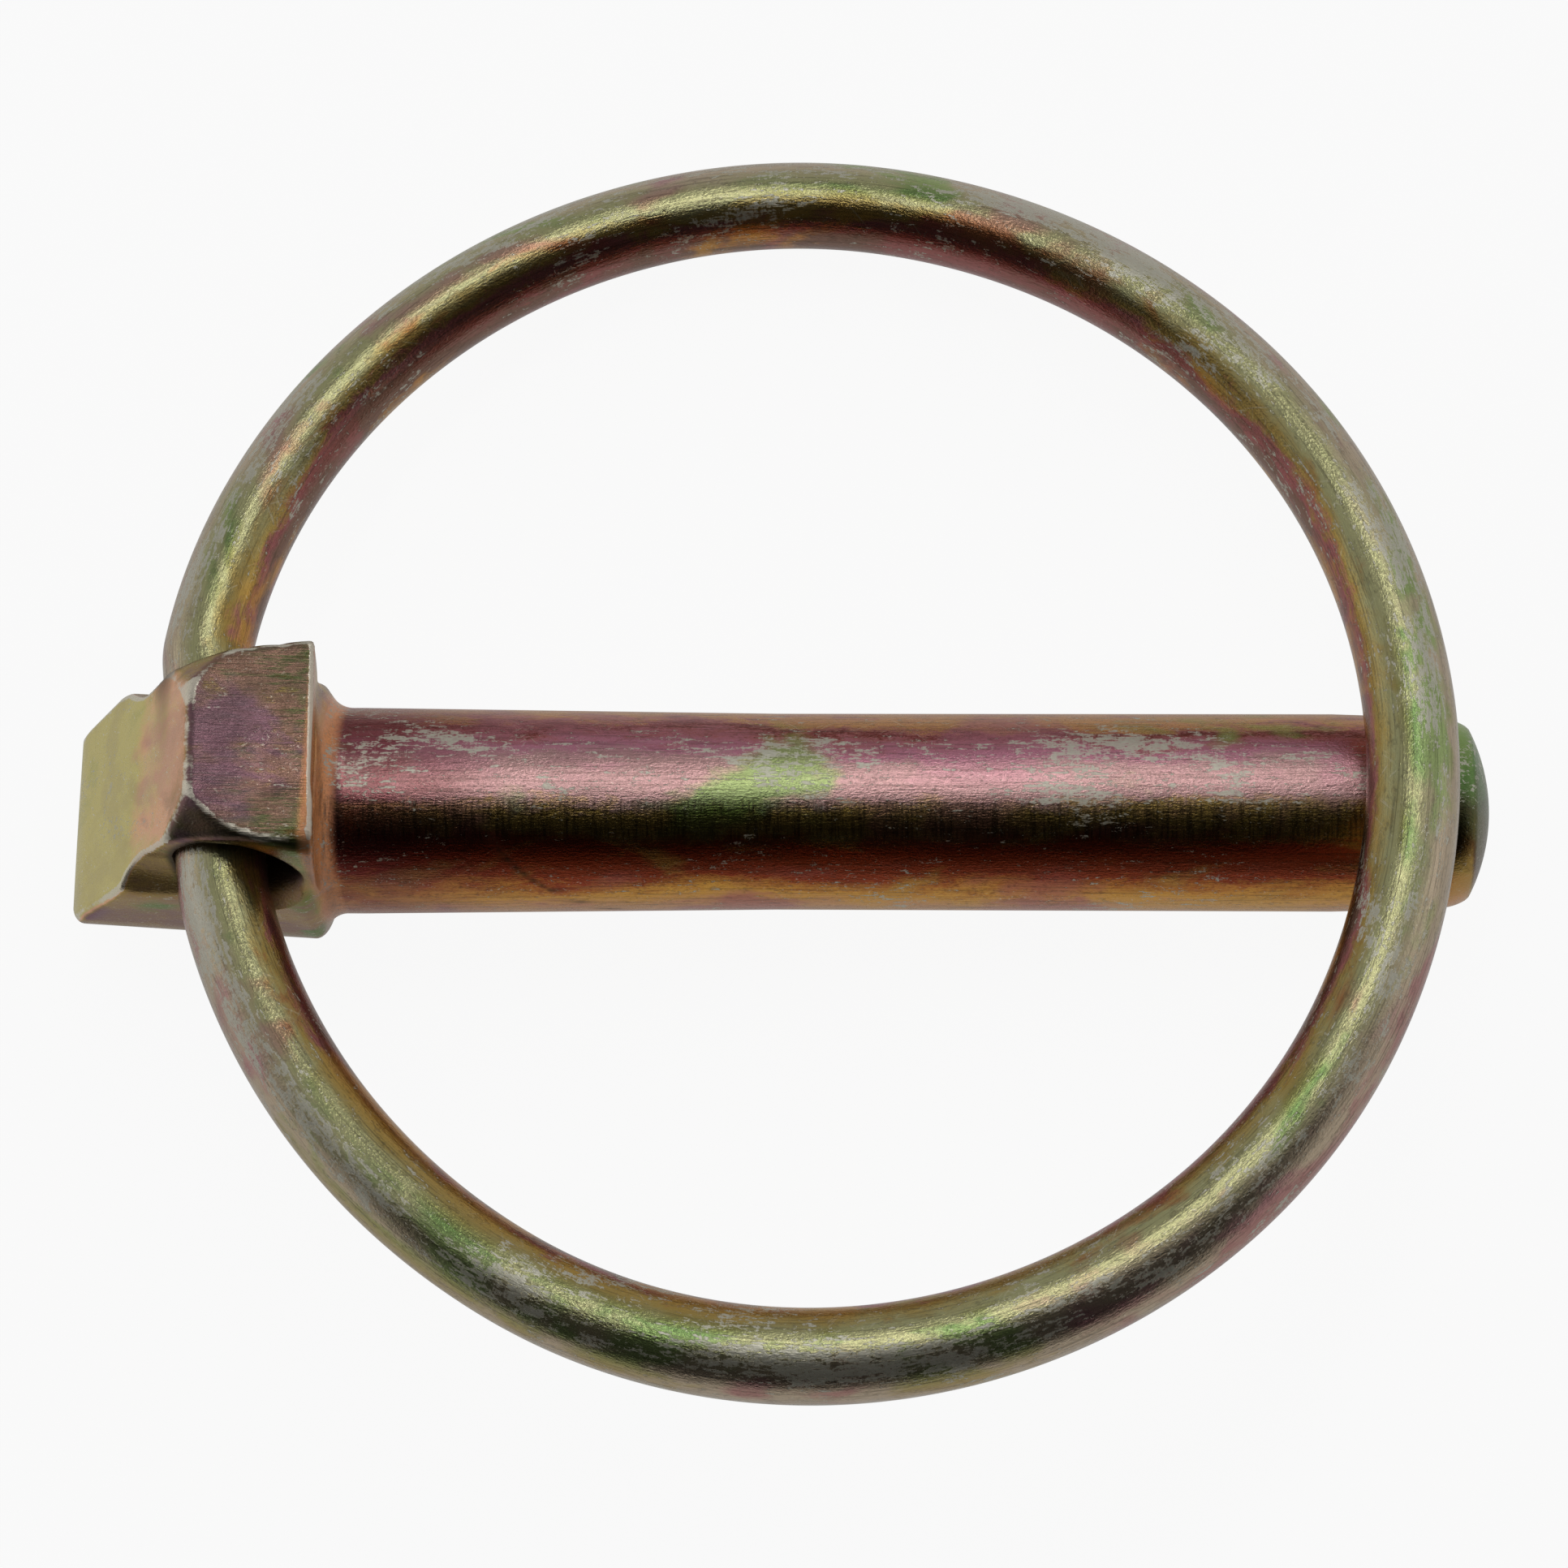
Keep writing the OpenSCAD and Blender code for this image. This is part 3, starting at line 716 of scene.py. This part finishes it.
# %% The noises
# name: waves per mm along x, y and z, then detail, roughness, wander and turn
NOISES = {
    "slow": ((0.07, 0.20, 0.20), 2.0, 0.55, 0.6),
    "quick": ((0.45, 1.1, 1.1), 4.0, 0.65, 0.4),
    "flake": ((1.5, 4.5, 4.5), 5.0, 0.7, 0.5),
    "grain": ((6.0, 13.0, 13.0), 3.0, 0.6),
    "lines": ((0.25, 12.0, 12.0), 3.0, 0.65),
    "hoops": ((9.0, 0.7, 0.7), 3.0, 0.6),
    "patches": ((0.09, 0.16, 0.16), 3.0, 0.6, 0.8, (0.3, 0.2, 0.1)),
    "drifts": ((0.09, 0.35, 0.35), 3.0, 0.6, 0.5, (0.1, 0.5, 0.2)),
    "scratches": ((0.25, 9.0, 9.0), 1.0, 0.5, 0.0, (0.4, 0.2, 0.8)),
    "crossing": ((0.3, 10.0, 10.0), 1.0, 0.5, 0.0, (0.1, -0.5, -0.6)),
}


class Noises:
    """The noises of the finish at a place, each under its name."""

    def __init__(self, place):
        for name, settings in NOISES.items():
            setattr(self, name, place.noise(*settings))


print("longest waves, in mm", {name: round(1 / min(settings[0]), 1) for name, settings in NOISES.items()})

# %% [markdown]
# ## The colour of the film
# The film mark, shifted by noise, reads the row of colours, so that its bands wander as real ones do.
# Greens and mauves lie over it where the patch noise is high or low. Over those lie painted shade in patches
# on the front, pooled passivate brightened into a painted glow in the fillet, dark streaks on the shank, and
# a band of painted shade along the shank.

# %% Film and streaks
def film_colour(n, mark, film, drift):
    """The film with its patches, and the shifted film mark. Noise shifts the mark by up to the drift,
    and streaks the flat front."""
    shifted = mark["film"] + ((n.slow - 0.5) * drift + (n.quick - 0.5) * drift + (n.grain - 0.5) * 0.10)
    streaked = shifted + mark["front"] * ((n.lines - 0.5) * 0.6 + (n.quick - 0.5) * 0.6)
    colour = streaked.ramp(HEAD_FILM).over(mark["shank"], shifted.ramp(film))
    patch, spare = n.patches + (n.quick - 0.5) * 0.30, 1 - mark["bevel"] * 0.8
    green = mark["shank"].choose(MOSS, mark["film"].ramp(GREENS))
    mauve = mark["shank"].choose(PLUM, mark["film"].ramp(MAUVES))
    colour = colour.over(patch.step(0.54, 0.66) * spare * 0.75, green)
    return colour.over((1 - patch).step(0.51, 0.64) * spare * 0.7, mauve), shifted


def streaks_shade_and_glow(colour, n, mark, shifted, hoop_shade):
    """Painted shade in patches on the front, wine at the root, and pooled gold brightened into a painted
    glow. Then the marks of turning, painted as a band of shade in the middle of the film's row, as strong as
    the last argument says, and dark streaks along the whole of it. The tip has its own row."""
    # Painted shade: dark patches over the flat front.
    colour = colour.over((n.slow * 0.5 + n.quick * 0.5).step(0.42, 0.60) * mark["front"] * 0.55, PAINTED_FRONT_SHADE)
    colour = colour.over(mark["root"] * (0.2 + n.quick), WINE)
    # Pooled passivate and painted glow: the fillet's orange is brighter than any film and stands in for
    # reflected light.
    colour = colour.over(mark["fillet"] * (n.quick * 0.6 + 0.6), POOLED_AND_GLOW)
    # Painted shade: the marks of turning go dark only in a band along the shank, at one facing.
    middle = mark["film"].step(0.33, 0.40) * (1 - mark["film"].step(0.54, 0.58)) * mark["shank"]
    colour = colour.over(n.hoops.step(0.40, 0.66) * middle * hoop_shade, SOOT_AND_SHADE)
    colour = colour.over(n.lines.step(0.48, 0.68) * mark["shank"] * 0.45, SOOT_AND_SHADE)
    colour = colour.over((n.flake * 0.6 + n.grain * 0.4).step(0.50, 0.62) * mark["shank"] * 0.40, SOOT_AND_SHADE)
    return colour.over(mark["tip"] * 0.9, shifted.ramp(TIP_FILM))


# Of these layers, dusk is painted shade on the front, pooled gold is brightened into a painted glow, and the
# dark streaks include a band of painted shade.
print("layers on the film: greens, mauves, dusk, wine, pooled gold, dark streaks")

# %% [markdown]
# ## Scuffs, scratches and bare edges
# Scuffs are flakes that gather in drifts, a few more of them on the side that rubs. Fine scratches run
# in two directions, most of them on the bevel. The proud edges are worn bare, and shade painted dark in the
# hollows lies over all.

# %% Scuffs and bare edges
def scuff_mask(n, mark, wear):
    """1 where the film is scuffed: a weighted sum of noises, cut off lower for a larger wear."""
    rubbed = mark["film"].step(0.50, 0.62) * (1 - mark["film"].step(0.84, 0.93)) * mark["shank"]
    worn = (n.flake * 0.75 + n.drifts * 0.6 + (n.lines - 0.5) * 0.3 + (n.grain - 0.5) * 0.25
            + rubbed * 0.10 + (n.hoops - 0.5) * 0.15)
    return worn.step(0.84 - wear, 0.90 - wear)


def bare_metal(colour, n, mark, scuff):
    """Scuffs in grey, scratches and worn edges in bare metal, and painted shade over them in the hollows."""
    colour = colour.over(scuff * (0.35 + n.grain), WORN)
    scratch = n.scratches.step(0.68, 0.72) + n.crossing.step(0.68, 0.72)
    colour = colour.over(scratch * n.quick.step(0.42, 0.6) * (0.25 + mark["bevel"] * 0.4), BARE)
    worn_edge = (mark["edge"] + (n.quick - 0.5) * 0.8 + (n.flake - 0.5) * 0.7).step(0.42, 0.66)
    colour = colour.over(worn_edge * 0.8, BARE)
    # Painted shade: the hole, the grooves and the lower turned corner go dark.
    return colour.over((mark["grime"] + (n.quick - 0.5) * 0.3).step(0.1, 1.0) * 0.9, SOOT_AND_SHADE)


# The last of these layers is painted shade in the hollows.
print("layers of wear over the film: scuffs, scratches, worn edges, grime")

# %% [markdown]
# ## One finish for both pieces
# The pin and the ring came out of the same bath, so one function makes both materials, and what differs
# is an argument. Scuffs and the painted shade in the hollows are rougher than the film, the pressed patch is
# smoother, and the fillet, whose pooled passivate is brightened into a painted glow, and the cloudy film in
# the grooves look less metallic.

# %% The plated finish
BUMP_STRENGTH, BUMP_DEPTH = 0.4, 0.00003
PIN_FINISH = {"film": SHANK_FILM, "drift": 0.22, "wear": 0.035, "rough": 0.25, "metallic": 1.0,
              "hoop_shade": 0.7}
WIRE_FINISH = {"film": WIRE_FILM, "drift": 0.42, "wear": 0.065, "rough": 0.15, "metallic": 0.86,
               "hoop_shade": 0.0}


def plated(name, film, drift, wear, rough, metallic, hoop_shade):
    """The finish of one piece: film is its row of colours, drift how far noise shifts them, wear how
    much of it is scuffed to grey, rough and metallic the clean film's own, and the last argument how strongly
    the marks of turning are painted as shade in a band along the shank."""
    material, tree, shader = new_material(name)
    place = add_node(tree, "ShaderNodeAttribute", {"attribute_name": "own"}, [], 1)
    mark = {key: add_node(tree, "ShaderNodeAttribute", {"attribute_name": key}, [], 2) for key in MARKS}
    n = Noises(place)
    colour, shifted = film_colour(n, mark, film, drift)
    colour = streaks_shade_and_glow(colour, n, mark, shifted, hoop_shade)
    scuff = scuff_mask(n, mark, wear)
    colour = bare_metal(colour, n, mark, scuff)
    roughness = (rough + scuff * 0.14 + (n.grain - 0.5) * 0.14 + (n.quick - 0.5) * 0.10
                 + mark["grime"] * 0.2 - mark["pressed"] * 0.08)
    height = (n.grain * 1.3 + n.flake * 0.8 + n.lines * (0.5 + mark["front"] * 3.0) + n.quick * 1.5
              - scuff * 0.3)
    bump = add_node(tree, "ShaderNodeBump", {},
                    {"Strength": BUMP_STRENGTH, "Distance": BUMP_DEPTH, "Height": height})
    # Less metal in the fillet lets its painted glow show as plain colour.
    metal = metallic - mark["fillet"] * 0.9 - mark["groove"] * 0.6 - scuff * 0.15
    for socket, value in (("Base Color", colour), ("Roughness", roughness), ("Normal", bump),
                          ("Metallic", metal)):
        tree.links.new(value.output, shader.inputs[socket])
    return material


for piece, name, finish, slot, body in (
        (forged_pin, "plated_forging", PIN_FINISH, "plated_steel", "pin"),
        (sprung_ring, "plated_wire_finish", WIRE_FINISH, "plated_wire", "ring")):
    piece.data.materials.clear()
    piece.data.materials.append(plated(name, **finish))
    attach(piece, body)
    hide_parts(body)
    print(piece.name, "rides on", body, "with", name)

# %% [markdown]
# ## The floor
# The floor should look white and still keep the part's shadow. A white sheet under strong light would do
# it, but that light would also reach the part from below. So the floor is plain and pale for the light,
# glows white where the camera sees it, and glows less where it shows in a reflection.

# %% Floor
FLOOR_SIZE, FLOOR_GREY, FLOOR_ROUGH = 1.6, 0.9, 0.9
SEEN_SHARE, MIRRORED_SHARE, WHITE_GLOW, PALE_GLOW = 0.93, 0.7, 1.0, 0.62


def floor_finish():
    """Plain pale paint, mixed with a glow by a share that the kind of ray decides."""
    material, tree, shader = new_material("pale_floor")
    shader.inputs["Base Color"].default_value = (FLOOR_GREY, FLOOR_GREY, FLOOR_GREY, 1)
    shader.inputs["Roughness"].default_value = FLOOR_ROUGH
    plain = Socket(tree, shader.outputs[0])
    path = tree.nodes.new("ShaderNodeLightPath")
    seen, glossy, through = (Socket(tree, path.outputs[f"Is {ray} Ray"])
                             for ray in ("Camera", "Glossy", "Transmission"))
    white, pale = (add_node(tree, "ShaderNodeEmission", {}, {"Color": (1, 1, 1, 1), "Strength": glow})
                   for glow in (WHITE_GLOW, PALE_GLOW))
    view = add_node(tree, "ShaderNodeMixShader", {}, [SEEN_SHARE, plain, white])
    mirror = add_node(tree, "ShaderNodeMixShader", {}, [MIRRORED_SHARE, plain, pale])
    bounced = glossy + through
    unseen = add_node(tree, "ShaderNodeMixShader", {}, [bounced.math("MINIMUM", bounced, 1.0), plain, mirror])
    paint = add_node(tree, "ShaderNodeMixShader", {}, [seen, unseen, view])
    tree.links.new(paint.output, tree.nodes["Material Output"].inputs[0])
    return material


bpy.ops.mesh.primitive_plane_add(size=FLOOR_SIZE, location=(0, 0, 0))
floor = bpy.context.object
floor.name = "floor"
floor.data.materials.append(floor_finish())
print("floor", FLOOR_SIZE, "m wide")

# %% [markdown]
# ## The tent
# Metal shows what stands round it, so the light is chosen for its reflections. A small studio would hang
# pale cloth behind the part and at both sides, and leave the near side open to a dark room. The world's
# light by direction does the same, without a sheet that could cut into the part.

# %% The tent
BACK_LIGHT, SIDE_LIGHT, PATCH_LIGHT, ROOM_LIGHT, LOW_SHARE = 0.42, 0.38, 0.35, 0.008, 0.7
PATCH_WAY = (0.40, 0.70, 0.59)


def tent():
    """World light by direction: pale over the back half and near the floor, brighter at both sides, with
    a soft patch high at the back right, and dark overhead on the near side."""
    world = bpy.data.worlds.new("tent")
    world.use_nodes = True
    tree = world.node_tree
    way = Socket(tree, tree.nodes.new("ShaderNodeTexCoord").outputs["Generated"])
    x, y, z = (add_node(tree, "ShaderNodeSeparateXYZ", {}, [way], k) for k in range(3))
    back, low = y.step(0.0, 0.22), (1 - z.step(0.02, 0.30)) * LOW_SHARE
    sides = x.math("ABSOLUTE", x).step(0.72, 0.95)
    patch = add_node(tree, "ShaderNodeVectorMath", {"operation": "DOT_PRODUCT"}, [way, PATCH_WAY], 1)
    light = (back.math("MAXIMUM", back, low) * BACK_LIGHT + sides * SIDE_LIGHT
             + patch.step(0.95, 0.99) * PATCH_LIGHT)
    tree.links.new((light + ROOM_LIGHT).output, tree.nodes["Background"].inputs["Strength"])
    tree.nodes["Background"].inputs["Color"].default_value = (1, 1, 1, 1)
    return world


bpy.context.scene.world = tent()
print("tent", BACK_LIGHT, "behind and", ROOM_LIGHT, "on the near side")

# %% [markdown]
# ## The lamp
# A round bar shows a lamp as a line along it. One long soft lamp hangs above and behind, and it is turned
# in its own plane so that its reflection runs along the shank.

# %% Lamp
LAMP_AT, LAMP_AIM, LAMP_TURN = (-0.006, 0.215, 0.400), (0, 0, 0.005), np.radians(55)
LAMP_SIZE, LAMP_POWER = (0.310, 0.060), 0.22


def soft_lamp(name, place, size, power, target, turn):
    """A rectangular lamp of that size and power at a place, facing a target and turned in its plane."""
    light = bpy.data.lights.new(name, "AREA")
    light.shape, light.size, light.size_y, light.energy = "RECTANGLE", size[0], size[1], power
    lamp = bpy.data.objects.new(name, light)
    bpy.context.scene.collection.objects.link(lamp)
    lamp.location = place
    facing = (Vector(target) - Vector(place)).to_track_quat("-Z", "Y")
    lamp.rotation_euler = (facing.to_matrix() @ Matrix.Rotation(turn, 3, "Z")).to_euler()


soft_lamp("long_soft_lamp", LAMP_AT, LAMP_SIZE, LAMP_POWER, LAMP_AIM, LAMP_TURN)
print("lamp", LAMP_SIZE, "m at", LAMP_AT)

# %% [markdown]
# ## The camera
# The camera looks down on the part and a little from the near side. It is given in the pin's own frame,
# by where its eye stands and by three angles: how far it leans from upright, how far it swings about
# that, and how far it rolls about its own line of sight.

# %% Camera
PIXELS, FOCAL, SENSOR_MM, NEAREST = 1932, 5000.0, 36.0, 0.005
TILT, SWING, ROLL = np.radians([24.7695, 7.6665, -6.8568])
EYE = np.array([27.3949, -67.2811, 149.8256])


def camera_axes(tilt, swing, roll):
    """The camera's right, its up and the way back to its eye, as columns: to_eye is the upright leant
    by tilt and swung by swing, and right and up are level and cross(to_eye, level) turned by roll."""
    to_eye = np.array([np.sin(tilt) * np.sin(swing), -np.sin(tilt) * np.cos(swing), np.cos(tilt)])
    level = np.array([np.cos(swing), np.sin(swing), 0])
    upright = np.cross(to_eye, level)
    return np.column_stack([np.cos(roll) * level + np.sin(roll) * upright,
                            np.cos(roll) * upright - np.sin(roll) * level, to_eye])


camera = bpy.data.objects.new("camera", bpy.data.cameras.new("camera"))
bpy.context.scene.collection.objects.link(camera)
pose = np.eye(4)
pose[:3, :3], pose[:3, 3] = LAY @ camera_axes(TILT, SWING, ROLL), to_table(EYE)
camera.matrix_world = Matrix(pose.tolist())
camera.data.sensor_width = SENSOR_MM
camera.data.lens = SENSOR_MM * FOCAL / PIXELS
camera.data.clip_start = NEAREST
bpy.context.scene.camera = camera
bpy.context.scene.view_settings.view_transform = "Standard"
print("camera at", to_table(EYE).round(4))
